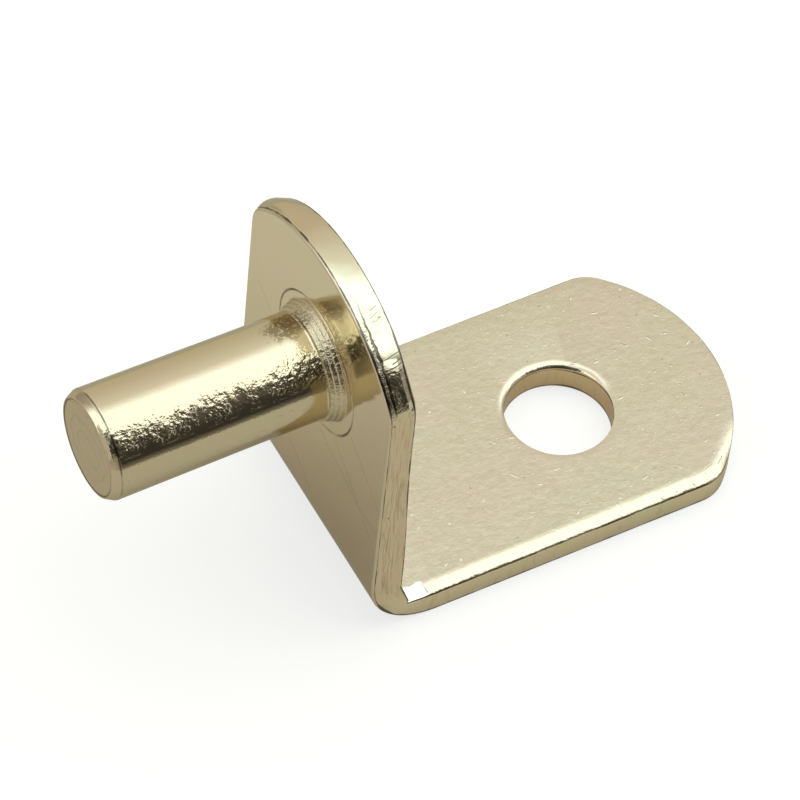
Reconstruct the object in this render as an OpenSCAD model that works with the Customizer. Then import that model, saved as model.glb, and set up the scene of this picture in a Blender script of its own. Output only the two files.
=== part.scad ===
// Shelf support pin: a stamped and bent steel bracket with a round pin staked through its back leg.
// All sizes are in millimetres. The origin is on the pin's axis, at the shoulder of its collar, which
// stands against the cabinet side. The pin runs along -X, the shelf leg along +X, and +Z is up.

/* [Strip] */
// Width of the strip that both legs are cut from
strip_w = 12.7; // [10:0.1:16]
// Thickness of the sheet
strip_t = 1.5; // [1:0.1:2.2]
// How far the arc that closes each leg rises past the leg's corners
end_crown = 3.2; // [1:0.1:4.4]
// Radius that blends a leg's arc into its straight sides
end_corner_r = 1.9; // [1:0.1:3]

/* [Bracket] */
// Height of the back leg above the pin's axis
back_leg_rise = 6.4; // [5:0.1:12]
// Distance from the pin's axis down to the underside of the shelf leg
back_leg_drop = 12.6; // [8:0.1:20]
// Length of the shelf leg, from the outer face of the back leg to its tip
shelf_leg_l = 21; // [19:0.1:30]
// Radius of the bend on its outside
bend_outer_r = 3.5; // [2.9:0.1:4.4]
// Radius of the bend on its inside
bend_inner_r = 0.6; // [0.3:0.1:1]

/* [Rolled edge] */
// Width of the rounding that the blanking punch leaves along the inner faces
roll_w = 0.6; // [0.2:0.05:0.9]
// Depth of that rounding at the rim
roll_d = 0.22; // [0.1:0.01:0.4]

/* [Screw hole] */
// Diameter of the hole for the screw that holds the shelf
screw_hole_d = 5.1; // [3:0.1:6]
// Distance of the hole's axis from the outer face of the back leg
screw_hole_x = 13.1; // [9:0.1:14]
// Radius of the rounding at the hole's upper rim
screw_hole_roll = 0.2; // [0.05:0.05:0.4]

/* [Pin] */
// Diameter of the shank
pin_d = 5; // [4:0.1:6.4]
// Length of the shank from the collar's shoulder to the tip
pin_reach = 10.4; // [6:0.1:16]
// Length of the bevel behind the tip's rim
tip_bevel_l = 0.4; // [0.1:0.05:0.8]
// How far that bevel takes the rim in from the shank
tip_bevel_w = 0.17; // [0.05:0.01:0.4]
// Width of the rounding on the tip's face
tip_round_w = 0.45; // [0.1:0.05:0.8]
// Depth of that rounding at the rim
tip_round_d = 0.2; // [0.05:0.05:0.4]

/* [Collar] */
// Thickness of the ridged collar between the back leg and the shank
collar_h = 0.65; // [0.3:0.05:1]
// How far the collar's widest ridge stands out past the shank
collar_rim = 0.55; // [0.3:0.05:1]
// Number of ridges that the collar steps down in
collar_ridges = 3; // [1:1:4]

/* [Staked joint] */
// Diameter of the pin's neck, which fills its hole in the back leg
neck_d = 3.6; // [2.5:0.1:3.9]
// How far the peened head spreads past the neck
head_lip = 0.6; // [0.2:0.05:1]
// Depth of the countersink that the head fills
head_h = 0.5; // [0.2:0.05:0.8]
// How far the head lies below the inner face, clear of the shelf's edge
head_recess = 0.05; // [0.02:0.01:0.15]
// Distance from the collar's rim to the ring that the staking die prints
ring_gap = 0.32; // [0.15:0.01:1]
// Radius of that ring's half-round groove
ring_groove_r = 0.07; // [0.03:0.01:0.12]

/* [Hidden] */
$fn = 96;
over = 0.15; // how far a cutting shape runs past the surface that it cuts
neck_clearance = 0; // staking swells the neck until it fills its hole
back_leg_l = back_leg_drop + back_leg_rise;
end_r = (pow(strip_w / 2, 2) + pow(end_crown, 2)) / (2 * end_crown);
// Where a corner blend's centre lies, seen from the centre of the leg's arc
blend_y = strip_w / 2 - end_corner_r;
blend_u = sqrt(pow(end_r - end_corner_r, 2) - pow(blend_y, 2));
blend_a = atan2(blend_y, blend_u);
blend_r = end_corner_r + 0.01; // a little over the tangent radius, so that the blend crosses its neighbours
bend_inner_end = strip_t + bend_inner_r;
pin_r = pin_d / 2;
neck_r = neck_d / 2;
tip_face_r = pin_r - tip_bevel_w;
collar_r = pin_r + collar_rim;
ridge_h = collar_h / collar_ridges;
bead_r = 0.55 * ridge_h;
ring_r = collar_r + ring_gap;
neck_hole_r = neck_r + neck_clearance;
head_rim_r = neck_r + head_lip * (head_h - head_recess) / head_h;
plate_color = [0.80, 0.71, 0.50];
pin_color = [0.76, 0.66, 0.44];

// What a rounding w wide and d deep takes off an edge. The edge is at the origin, with the solid below
// and to the left, and the arc leaves the upper face as its tangent. The cut ends at the arc's widest.
module edge_cut(w, d) {
    arc_r = (w * w + d * d) / (2 * d);
    depth = min(d + over, arc_r);
    difference() {
        translate([-w, -depth]) square([w + over, depth + over]);
        translate([-w, -arc_r]) circle(arc_r);
    }
}

// Outline of a flat leg that is l long, with its length along X. It starts where the bend ends.
module leg_outline(l) {
    arc_u = l - end_r;
    difference() {
        translate([bend_outer_r, -strip_w / 2]) square([l + over - bend_outer_r, strip_w]);
        difference() {
            translate([arc_u, -strip_w]) square([2 * end_r, 2 * strip_w]);
            translate([arc_u, 0]) circle(end_r);
        }
        for (side = [0, 1]) mirror([0, side])
            translate([arc_u + blend_u, blend_y])
                difference() {
                    polygon(2 * end_corner_r * [[0, 0], [cos(blend_a), sin(blend_a)], [1, 1], [0, 1]]);
                    circle(blend_r);
                }
    }
}

// Rounding along both sides and round the end of a leg that is l long, on its inner face
module leg_roll(l) {
    arc_u = l - end_r;
    for (side = [0, 1]) mirror([0, side, 0]) {
        translate([bend_inner_end, strip_w / 2, strip_t])
            rotate([90, 0, 90])
                linear_extrude(l - bend_inner_end) edge_cut(roll_w, roll_d);
        translate([arc_u + blend_u, blend_y, strip_t])
            rotate([0, 0, blend_a])
                rotate_extrude(angle = 90 - blend_a)
                    translate([blend_r, 0]) edge_cut(roll_w, roll_d);
    }
    translate([arc_u, 0, strip_t])
        rotate([0, 0, -90])
            rotate_extrude(angle = 180)
                translate([end_r, 0]) edge_cut(roll_w, roll_d);
}

// Stands a flat leg up on the bend: its length runs up and its inner face looks along +X
module upright() {
    rotate([180, -90, 0]) children();
}

// Section of the bend, with the corner where the two outer faces would meet at the origin
module bend_section() {
    difference() {
        intersection() {
            square(bend_outer_r);
            translate([bend_outer_r, bend_outer_r]) circle(bend_outer_r);
        }
        translate([bend_inner_end, strip_t]) square(bend_outer_r);
        translate([strip_t, bend_inner_end]) square(bend_outer_r);
        translate([bend_inner_end, bend_inner_end]) circle(bend_inner_r);
    }
}

// Rounding along both edges of the strip through the inside of the bend
module bend_roll() {
    for (side = [0, 1]) mirror([0, side, 0])
        translate([bend_inner_end, 0, bend_inner_end])
            rotate([90, 0, 0])
                rotate([0, 0, 180])
                    rotate_extrude(angle = 90)
                        translate([bend_inner_r, strip_w / 2]) rotate(90) edge_cut(roll_w, roll_d);
}

// Hole for the shelf's screw, with its rolled upper rim
module screw_hole() {
    translate([screw_hole_x, 0, -over]) cylinder(d = screw_hole_d, h = strip_t + 2 * over);
    translate([screw_hole_x, 0, strip_t])
        rotate_extrude()
            translate([screw_hole_d / 2, 0]) mirror([1, 0]) edge_cut(screw_hole_roll, screw_hole_roll);
}

// Hole for the pin's neck, countersunk from the inner face, and the ring that the staking die prints
module stake_hole() {
    translate([back_leg_drop, 0, -over]) cylinder(r = neck_hole_r, h = strip_t + 2 * over);
    translate([back_leg_drop, 0, strip_t - head_h])
        cylinder(r1 = neck_hole_r, r2 = neck_hole_r + head_lip, h = head_h);
    translate([back_leg_drop, 0, 0])
        rotate_extrude() translate([ring_r, 0]) circle(ring_groove_r);
}

module bracket() {
    color(plate_color)
        translate([collar_h, 0, -back_leg_drop])
            difference() {
                union() {
                    linear_extrude(strip_t) leg_outline(shelf_leg_l);
                    upright() linear_extrude(strip_t) leg_outline(back_leg_l);
                    rotate([90, 0, 0]) linear_extrude(strip_w, center = true) bend_section();
                }
                leg_roll(shelf_leg_l);
                upright() leg_roll(back_leg_l);
                bend_roll();
                screw_hole();
                upright() stake_hole();
            }
}

// Half section of the collar's ridges, which step down from the back leg to the shoulder at Y = 0. The
// bead that rounds a ridge is a little thicker than the ridge, so its ends are cut off flat.
module collar_section() {
    for (i = [0 : collar_ridges - 1]) {
        bead_x = pin_r + collar_rim * (collar_ridges - i) / collar_ridges - bead_r;
        intersection() {
            translate([0, -collar_h]) square([collar_r + over, (i + 1) * ridge_h]);
            union() {
                translate([0, -collar_h - over]) square([bead_x, collar_h + 2 * over]);
                translate([bead_x, (i + 0.5) * ridge_h - collar_h]) circle(bead_r);
            }
        }
    }
}

// Half section of the pin, with its axis along Y
module pin_section() {
    head_y = head_recess - collar_h - strip_t;
    neck_y = head_h - collar_h - strip_t;
    difference() {
        union() {
            polygon([[0, head_y], [head_rim_r, head_y], [neck_r, neck_y], [neck_r, -collar_h],
                     [pin_r, -collar_h], [pin_r, pin_reach - tip_round_d - tip_bevel_l],
                     [tip_face_r, pin_reach - tip_round_d], [tip_face_r, pin_reach], [0, pin_reach]]);
            collar_section();
        }
        translate([tip_face_r, pin_reach]) edge_cut(tip_round_w, tip_round_d);
    }
}

module pin() {
    color(pin_color)
        rotate([0, -90, 0])
            rotate_extrude() pin_section();
}

bracket();
pin();
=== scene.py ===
# %% [markdown]
# # A brass-plated shelf support pin
# A small bracket is blanked from steel sheet, bent to an L and plated, and a turned pin is staked
# through its back leg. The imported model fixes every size. This lesson makes the same two pieces again
# as fine meshes, because bright metal shows each edge by what it mirrors: a rounding a tenth of a
# millimetre wide is a line of light or shade.

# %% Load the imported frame
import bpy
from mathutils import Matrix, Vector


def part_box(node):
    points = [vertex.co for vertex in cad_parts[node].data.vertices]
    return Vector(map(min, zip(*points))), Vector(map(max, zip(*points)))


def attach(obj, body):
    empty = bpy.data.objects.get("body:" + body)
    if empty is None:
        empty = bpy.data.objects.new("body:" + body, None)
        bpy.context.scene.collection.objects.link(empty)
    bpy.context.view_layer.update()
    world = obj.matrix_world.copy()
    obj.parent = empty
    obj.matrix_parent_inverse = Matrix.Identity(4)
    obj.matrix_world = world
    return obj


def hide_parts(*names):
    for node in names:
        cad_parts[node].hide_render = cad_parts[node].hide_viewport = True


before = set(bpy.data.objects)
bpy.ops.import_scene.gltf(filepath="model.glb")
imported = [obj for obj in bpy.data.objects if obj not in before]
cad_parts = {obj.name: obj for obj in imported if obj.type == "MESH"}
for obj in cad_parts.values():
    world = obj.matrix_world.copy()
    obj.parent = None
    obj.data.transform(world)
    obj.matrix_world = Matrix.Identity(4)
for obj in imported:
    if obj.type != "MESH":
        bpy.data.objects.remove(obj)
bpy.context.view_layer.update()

import math
from functools import reduce

import bmesh
import bpy
from mathutils import Matrix, Vector

MM = 0.001
scene = bpy.context.scene
scene.view_settings.view_transform = "Standard"

# %% [markdown]
# ## Sizes
# The pieces are shaped in millimetres, in the numbers that a toolmaker would put on the drawing,
# and scaled to metres when each is finished. The sheet's outer face is the one that stands against
# the cabinet side. Its inner face is the one that the shelf touches.

# %% Sizes of the bracket
STRIP_W = 12.7
STRIP_T = 1.5
SHELF_LEG = 21.0
BACK_LEG = 19.0
END_CROWN = 3.2
END_R = ((STRIP_W / 2) ** 2 + END_CROWN ** 2) / (2 * END_CROWN)
CORNER_R = 1.9
BEND_OUT_R = 3.5
BEND_IN_R = 0.6
FACE_X = 0.65
FLOOR_Z = -12.6

CORNER_Y = STRIP_W / 2 - CORNER_R
CORNER_U = math.sqrt((END_R - CORNER_R) ** 2 - CORNER_Y ** 2)
CORNER_TURN = math.atan2(CORNER_Y, CORNER_U)
BEND_HALF = BEND_OUT_R * math.pi / 4
print("end arc radius", round(END_R, 3), "half of the bend along the sheet", round(BEND_HALF, 3))

# %% [markdown]
# ## The blank
# The press punches a flat strip first. Its outline is two legs end to end, each closed by a shallow
# arc with blended corners. One side is drawn by spinning a single vertex about the centre of each
# arc and extruding it along each straight, which gives true tangents, and a mirror makes the other.

# %% Draw the blank's outline
EDGE_STEP = 0.3
MERGE = 1e-4
ON_PLANE = 1e-5


def weld(bm):
    bmesh.ops.remove_doubles(bm, verts=bm.verts, dist=MERGE)


def once(items):
    """Each item once, in the order in which it first comes, so that every run does the same."""
    return list(dict.fromkeys(items))


def spin_point(bm, geom, centre, turn, radius):
    """Carries the last vertex of a chain round an arc, in steps about half an EDGE_STEP long."""
    steps = max(4, round(abs(turn) * radius / EDGE_STEP * 2))
    done = bmesh.ops.spin(bm, geom=geom, cent=(*centre, 0), axis=(0, 0, 1), angle=turn, steps=steps)
    return [g for g in done["geom_last"] if isinstance(g, bmesh.types.BMVert)]


def draw_side(bm, verts, length):
    """Carries the last vertex of a chain straight back along the strip."""
    grown = bmesh.ops.extrude_vert_indiv(bm, verts=verts)
    bmesh.ops.translate(bm, vec=(-length, 0, 0), verts=grown["verts"])
    return grown["verts"]


def blank_outline(bm):
    """The outline of the flat strip at Z = 0, with the middle of the bend at X = 0."""
    shelf_tip = BEND_HALF + SHELF_LEG - BEND_OUT_R
    back_tip = -(BEND_HALF + BACK_LEG - BEND_OUT_R)
    shelf_arc = shelf_tip - END_R
    back_arc = back_tip + END_R
    shelf_corner = shelf_arc + CORNER_U
    back_corner = back_arc - CORNER_U
    rest = math.pi / 2 - CORNER_TURN
    last = [bmesh.ops.create_vert(bm, co=(shelf_tip, 0, 0))["vert"][0]]
    last = spin_point(bm, last, (shelf_arc, 0), CORNER_TURN, END_R)
    last = spin_point(bm, last, (shelf_corner, CORNER_Y), rest, CORNER_R)
    last = draw_side(bm, last, shelf_corner - back_corner)
    last = spin_point(bm, last, (back_corner, CORNER_Y), rest, CORNER_R)
    spin_point(bm, last, (back_arc, 0), CORNER_TURN, END_R)
    side = max(bm.edges, key=lambda e: e.calc_length())
    bmesh.ops.subdivide_edges(bm, edges=[side], cuts=round(side.calc_length() / EDGE_STEP))
    bmesh.ops.mirror(bm, geom=bm.verts[:] + bm.edges[:], matrix=Matrix(), merge_dist=MERGE, axis="Y")
    weld(bm)
    return bm.edges[:]


sheet = bmesh.new()
outline = blank_outline(sheet)
print("outline:", len(sheet.verts), "vertices", len(outline), "edges")

# %% [markdown]
# ## Thickness, burr and rolled edge
# The punch drags the rim of the inner face down before it shears, so that rim is a broad shallow
# roll. It ends in a lip, under which the side is flat and torn. The rim of the outer face is nearly
# sharp. Each is a profile of small arcs, and insetting the face by the run of each step and lifting
# it by the rise carries the profile right round the outline.

# %% Extrude the blank and roll its rims
ROLL_W = 0.68
ROLL_D = 0.205
LIP_R = 0.07
BURR_R = 0.11
RIM_STEPS = 4
ROLL_STEPS = 9


def arc_steps(radius, start, end, steps):
    """The (run, rise) of each step of an arc, from a surface at angle start to one at angle end."""
    turns = [start + (end - start) * i / steps for i in range(steps + 1)]
    return [(radius * (math.sin(a) - math.sin(b)), radius * (math.cos(b) - math.cos(a)))
            for a, b in zip(turns, turns[1:])]


def inset_rim(bm, face, steps, up):
    """Takes a face's rim in by each run and moves the face by each rise."""
    for run, rise in steps:
        bmesh.ops.inset_region(bm, faces=[face], thickness=run, use_even_offset=True, use_boundary=True)
        bmesh.ops.translate(bm, vec=(0, 0, up * rise), verts=face.verts)


def roll_profile(width, depth, lip_r, steps):
    """A lip and the shallow arc above it, which ends flat with the face."""
    arc_r = (width ** 2 + depth ** 2) / (2 * depth)
    slope = math.asin(width / arc_r)
    return arc_steps(lip_r, math.pi / 2, slope, RIM_STEPS) + arc_steps(arc_r, slope, 0, steps)


def total(steps):
    return sum(run for run, rise in steps), sum(rise for run, rise in steps)


ROLL = roll_profile(ROLL_W, ROLL_D, LIP_R, ROLL_STEPS)
BURR = arc_steps(BURR_R, math.pi / 2, 0, RIM_STEPS)
blank = bmesh.ops.contextual_create(sheet, geom=outline)["faces"][0]
blank.normal_update()
if blank.normal.z < 0:
    blank.normal_flip()
bmesh.ops.translate(sheet, vec=(0, 0, BURR_R), verts=sheet.verts)
grown = bmesh.ops.extrude_face_region(sheet, geom=[blank], use_keep_orig=True)["geom"]
top = [g for g in grown if isinstance(g, bmesh.types.BMFace)][0]
side_h = STRIP_T - BURR_R - total(ROLL)[1]
bmesh.ops.translate(sheet, vec=(0, 0, side_h), verts=top.verts)
bottom = [f for f in sheet.faces if f is not top and len(f.verts) > 4][0]
inset_rim(sheet, top, ROLL, 1)
inset_rim(sheet, bottom, BURR, -1)
print("side", round(side_h, 3), "mm tall, faces", len(sheet.faces))

# %% [markdown]
# ## Holes
# Two holes are punched in the flat: one for the shelf's screw, and one for the neck of the pin, which
# is countersunk from the inner face so that the peened head lies flush. A ring round the neck hole is
# the print of the staking die. Each hole starts as a circle on the face, and its rim is extruded down
# the hole's profile, in steps of run and drop.

# %% Cut the holes
SCREW_R = 2.5
SCREW_X = 13.1
SCREW_ROLL_W = 0.36
SCREW_ROLL_D = 0.14
SCREW_BURR_R = 0.06
SCREW_ROLL_STEPS = 7
SCREW_BURR_STEPS = 3
WALL_BANDS = 4
NECK_R = 1.8
SINK_R = 2.4
SINK_H = 0.5
PRINT_R = 3.37
PRINT_W = 0.055
PRINT_DROP = 0.2
GROOVE_STEPS = 6
HOLE_STEPS = 120
SCREW_ROLL = roll_profile(SCREW_ROLL_W, SCREW_ROLL_D, LIP_R, SCREW_ROLL_STEPS)
SCREW_BURR = arc_steps(SCREW_BURR_R, math.pi / 2, 0, SCREW_BURR_STEPS)
screw_at = Vector((BEND_HALF + SCREW_X - BEND_OUT_R, 0, 0))
neck_at = Vector((-(BEND_HALF - FLOOR_Z - BEND_OUT_R), 0, 0))


def rim_of(bm, face):
    """Takes a face away and gives the edges that it leaves open."""
    rim = face.edges[:]
    bmesh.ops.delete(bm, geom=[face], context="FACES_ONLY")
    return rim


def draw_ring(bm, centre, radius, z):
    at = Matrix.Translation((centre.x, centre.y, z))
    ring = bmesh.ops.create_circle(bm, cap_ends=False, radius=radius, segments=HOLE_STEPS, matrix=at)
    return once(e for v in ring["verts"] for e in v.link_edges)


def follow(bm, ring, centre, radius, steps):
    """Extrudes a ring of edges through (change of radius, change of Z) and gives the last ring."""
    for run, rise in steps:
        grown = bmesh.ops.extrude_edge_only(bm, edges=ring)["geom"]
        verts = [g for g in grown if isinstance(g, bmesh.types.BMVert)]
        ring = [g for g in grown if isinstance(g, bmesh.types.BMEdge)]
        size = (radius + run) / radius
        bmesh.ops.scale(bm, vec=(size, size, 1), space=Matrix.Translation(-centre), verts=verts)
        bmesh.ops.translate(bm, vec=(0, 0, rise), verts=verts)
        radius += run
    return ring


top_rim = rim_of(sheet, top)
bottom_rim = rim_of(sheet, bottom)

roll_run, roll_rise = total(SCREW_ROLL)
burr_rise = total(SCREW_BURR)[1]
screw_top = draw_ring(sheet, screw_at, SCREW_R + roll_run, STRIP_T)
down = [(-run, -rise) for run, rise in reversed(SCREW_ROLL)]
wall = [(0, -(STRIP_T - roll_rise - burr_rise) / WALL_BANDS)] * WALL_BANDS
out = [(run, -rise) for run, rise in SCREW_BURR]
screw_bottom = follow(sheet, screw_top, screw_at, SCREW_R + roll_run, down + wall + out)

print_at = neck_at + Vector((PRINT_DROP, 0, 0))
print_out = draw_ring(sheet, print_at, PRINT_R + PRINT_W, 0)
groove = [PRINT_W * math.cos(math.pi * i / GROOVE_STEPS) for i in range(GROOVE_STEPS + 1)]
depth = [PRINT_W * math.sin(math.pi * i / GROOVE_STEPS) for i in range(GROOVE_STEPS + 1)]
into = [(b - a, d - c) for a, b, c, d in zip(groove, groove[1:], depth, depth[1:])]
print_in = follow(sheet, print_out, print_at, PRINT_R + PRINT_W, into)
neck_rim = draw_ring(sheet, neck_at, NECK_R, 0)
sink_top = follow(sheet, neck_rim, neck_at, NECK_R, [(0, STRIP_T - SINK_H), (SINK_R - NECK_R, SINK_H)])

for rings in (top_rim + screw_top + sink_top, bottom_rim + screw_bottom + print_out, print_in + neck_rim):
    bmesh.ops.triangle_fill(sheet, edges=rings, use_beauty=True, normal=(0, 0, 1))
weld(sheet)
open_edges = [e for e in sheet.edges if not e.is_manifold]
print("blank:", len(sheet.faces), "faces, open edges", len(open_edges))

# %% [markdown]
# ## Finishes on the faces
# The parts of the surface are told apart while the blank is flat: the inner face and the outer face
# by height, the sheared side and the holes' walls by standing upright, and what is left is burr. The
# groove of the die's print belongs to the outer face.

# %% Give each face its finish
INNER, OUTER, SHEARED, BURRED, BORE = range(5)
NEAR_HOLE = 3.6
UPRIGHT = 0.05
LEVEL = 0.999


def finish_of(face):
    middle = face.calc_center_median()
    from_hole = min((middle.xy - at.xy).length for at in (screw_at, neck_at))
    if abs(face.normal.z) < UPRIGHT:
        return BORE if from_hole < NEAR_HOLE else SHEARED
    if middle.z > STRIP_T / 2:
        return INNER
    in_print = (middle.xy - print_at.xy).length < PRINT_R + 2 * PRINT_W
    return OUTER if in_print or abs(face.normal.z) > LEVEL else BURRED


bmesh.ops.recalc_face_normals(sheet, faces=sheet.faces)
for face in sheet.faces:
    face.material_index = finish_of(face)
    face.smooth = True
counts = [sum(f.material_index == i for f in sheet.faces) for i in range(BORE + 1)]
print("faces inner, outer, sheared, burred, bore:", counts)

# %% [markdown]
# ## Rows across the bend, and a memory of the flat
# The blank is cut into rows where it will bend. Then each vertex writes down where it lies in the
# flat, in an attribute that the fold leaves alone. The finishes read it, so that a streak or a torn
# zone along the sheared side follows the sheet round the bend.

# %% Cut the rows and store the places in the flat
BEND_ROWS = 56
for row in range(BEND_ROWS + 1):
    cut = BEND_HALF * (2 * row / BEND_ROWS - 1)
    everything = sheet.verts[:] + sheet.edges[:] + sheet.faces[:]
    bmesh.ops.bisect_plane(sheet, geom=everything, dist=ON_PLANE,
                           plane_co=(cut, 0, 0), plane_no=(1, 0, 0))
FLAT_PLACE = "flat_place"
flat_layer = sheet.verts.layers.float_vector.new(FLAT_PLACE)
for vert in sheet.verts:
    vert[flat_layer] = vert.co
LIP_Z = BURR_R + side_h
print("rows:", BEND_ROWS, "lip of the roll at", round(LIP_Z, 3), "mm through the sheet")

# %% [markdown]
# ## An uneven press
# A punch never sits quite in the middle of its die. The roll is deep along the near side, where the
# gap is wide, and shallow along the far side and round the ends. It also fades towards the bend on
# the back leg, because the fold presses the inner corner full again. Round the screw hole the deep
# part lies at the far side.

# %% Make the roll uneven
FAR_ROLL = 0.04
TIP_ROLL = 0.35
FILLED_FROM = 0.55
AROUND_HOLE = 1.0
NEAR_SIDE = (3.6, 5.75)
HOLE_FAR_HALF = (-0.7, 1.8)
PAST_BEND = (BEND_HALF + 0.5, BEND_HALF + 9)


def slide(value, start, end):
    """0 before start, 1 after end, and smooth between them."""
    share = min(1.0, max(0.0, (value - start) / (end - start)))
    return share * share * (3 - 2 * share)


def roll_share(point):
    """How deep the roll is at a point, as a share of its full depth."""
    from_hole = Vector((point.x, point.y, 0)) - screw_at
    if from_hole.length < SCREW_R + AROUND_HOLE:
        return FAR_ROLL + (1 - FAR_ROLL) * slide(from_hole.y, *HOLE_FAR_HALF)
    if point.x > FILLED_FROM:
        return FAR_ROLL + (1 - FAR_ROLL) * slide(-point.y, *NEAR_SIDE)
    across = TIP_ROLL + (1 - TIP_ROLL) * slide(-point.y, *NEAR_SIDE)
    return across * slide(-point.x, *PAST_BEND)


ROLL_DEPTH = "roll_depth"
roll_layer = sheet.verts.layers.float.new(ROLL_DEPTH)
for vert in sheet.verts:
    fall = STRIP_T - vert.co.z
    if ON_PLANE < fall < STRIP_T - LIP_Z + MERGE:
        share = roll_share(vert.co)
        vert.co.z = STRIP_T - fall * share
        vert[roll_layer] = share * math.sqrt(min(1.0, fall / (STRIP_T - LIP_Z)))
print("vertices on the roll:", sum(vert[roll_layer] > 0 for vert in sheet.verts))

# %% [markdown]
# ## A full corner
# At the far corner of the back leg the sheared side isn't flat. The metal stands out between the two
# faces, so that from the pin's side the corner looks round. The side is cut into bands there, and each
# vertex moves out by its share of a shallow bow.

# %% Bow the side of the far corner
BOW = 0.21
BOW_FULL = 0.7
BOW_BANDS = 8
BOW_SIDE = 1.5
BOW_GROWS = (2.6, 5.2)
BOW_ENDS = (56, 82)
arc_at = Vector((-(BEND_HALF + BACK_LEG - BEND_OUT_R) + END_R, 0, 0))
bow_at = arc_at + Vector((-CORNER_U, CORNER_Y, 0))


def by_the_corner(face):
    middle = face.calc_center_median()
    return middle.x < bow_at.x and middle.y > BOW_SIDE and face.material_index == SHEARED


for band in range(1, BOW_BANDS):
    corner_faces = [f for f in sheet.faces if by_the_corner(f)]
    corner_edges = once(e for f in corner_faces for e in f.edges)
    corner_verts = once(v for f in corner_faces for v in f.verts)
    bmesh.ops.bisect_plane(sheet, geom=corner_verts + corner_edges + corner_faces, dist=ON_PLANE,
                           plane_co=(0, 0, BURR_R + side_h * band / BOW_BANDS), plane_no=(0, 0, 1))
for vert in once(v for f in sheet.faces if by_the_corner(f) for v in f.verts):
    through = (vert.co.z - BURR_R) / side_h
    if 0 < through < 1:
        centre = bow_at if vert.co.y > END_R * math.sin(CORNER_TURN) else arc_at
        away = Vector((vert.co.x - centre.x, vert.co.y - centre.y, 0))
        turned_by = math.degrees(math.atan2(away.y, -away.x))
        share = slide(vert.co.y, *BOW_GROWS) * (1 - slide(turned_by, *BOW_ENDS))
        vert.co += away.normalized() * BOW * share * (4 * through * (1 - through)) ** BOW_FULL
print("bands across the far corner:", BOW_BANDS)

# %% [markdown]
# ## The bend
# The press folds the blank over a sharp block. The outside of the bend keeps a wide radius, and the
# inside is pinched to a small one, so the sheet thins between them. At both edges of the strip the
# pinched metal swells into the corner and leaves a slanting end to the roll. Every vertex is carried
# to its place between the paths, which is what the fold does to the metal.

# %% Fold the blank to an L
FLAT_IN = BEND_OUT_R - STRIP_T - BEND_IN_R
SWELL_OUT = 0.5
SWELL_UP = 1.4
SWELL_END = 0.75
SWELL_EDGE = (5.75, 6.2)


def outer_path(share):
    """A point of the outside of the bend, as (along the shelf leg, up the back leg)."""
    turn = share * math.pi / 2
    return BEND_OUT_R * Vector((1 - math.sin(turn), 1 - math.cos(turn)))


def inner_path(share):
    """The point of the inside of the bend that the same row crosses."""
    arc = BEND_IN_R * math.pi / 2
    run = share * (2 * FLAT_IN + arc)
    if run < FLAT_IN:
        return Vector((BEND_OUT_R - run, STRIP_T))
    if run > FLAT_IN + arc:
        return Vector((STRIP_T, BEND_OUT_R - (2 * FLAT_IN + arc - run)))
    turn = (run - FLAT_IN) / BEND_IN_R
    middle = STRIP_T + BEND_IN_R
    return Vector((middle - BEND_IN_R * math.sin(turn), middle - BEND_IN_R * math.cos(turn)))


def swollen_path(share):
    """The inside of the bend at the strip's edges, where the metal swells into the corner."""
    start = (BEND_HALF - FILLED_FROM) / (2 * BEND_HALF)
    if share < start:
        return inner_path(share)
    low = Vector((STRIP_T + SWELL_OUT, STRIP_T))
    high = Vector((STRIP_T, STRIP_T + SWELL_UP))
    if share < SWELL_END:
        return low.lerp(high, (share - start) / (SWELL_END - start))
    return high.lerp(inner_path(1), (share - SWELL_END) / (1 - SWELL_END))


def fold(point):
    """Where a point of the flat blank lies in the bent bracket."""
    if point.x >= BEND_HALF:
        along, up = BEND_OUT_R + point.x - BEND_HALF, point.z
    elif point.x <= -BEND_HALF:
        along, up = point.z, BEND_OUT_R - point.x - BEND_HALF
    else:
        share = (BEND_HALF - point.x) / (2 * BEND_HALF)
        inside = inner_path(share).lerp(swollen_path(share), slide(abs(point.y), *SWELL_EDGE))
        along, up = outer_path(share).lerp(inside, point.z / STRIP_T)
    return Vector((FACE_X + along, point.y, FLOOR_Z + up))


for vert in sheet.verts:
    vert.co = fold(vert.co)
bmesh.ops.recalc_face_normals(sheet, faces=sheet.faces)
print("bent:", len(sheet.faces), "faces, volume", round(sheet.calc_volume(signed=True), 2), "mm3")

# %% [markdown]
# ## From drawing to object
# Each piece is scaled to metres in its mesh, so that its object can stay at the origin. Weighted
# normals keep a wide flat face flat in its reflections, while the small roundings beside it stay
# smooth.

# %% Make an object of a mesh
SHARP = math.radians(38)


def object_of(bm, name):
    """An object in the scene of a bmesh, whose millimetres become metres."""
    bmesh.ops.scale(bm, vec=(MM, MM, MM), verts=bm.verts)
    mesh = bpy.data.meshes.new(name)
    bm.to_mesh(mesh)
    bm.free()
    made = bpy.data.objects.new(name, mesh)
    scene.collection.objects.link(made)
    return made


def finish_piece(bm, name, body, node, materials):
    """Turns a bmesh into a piece of the object that stands for a CAD node."""
    for edge in bm.edges:
        edge.smooth = edge.calc_face_angle(0) < SHARP
    piece = object_of(bm, name)
    for material in materials:
        piece.data.materials.append(material)
    weighted = piece.modifiers.new("weighted", "WEIGHTED_NORMAL")
    weighted.keep_sharp = True
    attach(piece, body)
    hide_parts(node)
    low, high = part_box(node)
    print(name, len(piece.data.polygons), "faces, CAD box", [round(c / MM, 2) for c in (*low, *high)])

# %% [markdown]
# ## The pin
# The pin is turned from rod. Half of its outline is drawn as a chain of vertices, from the middle of
# the tip to the middle of the head. The corners are rounded by bevelling their vertices, and the
# chain is spun once round the axis.

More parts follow.
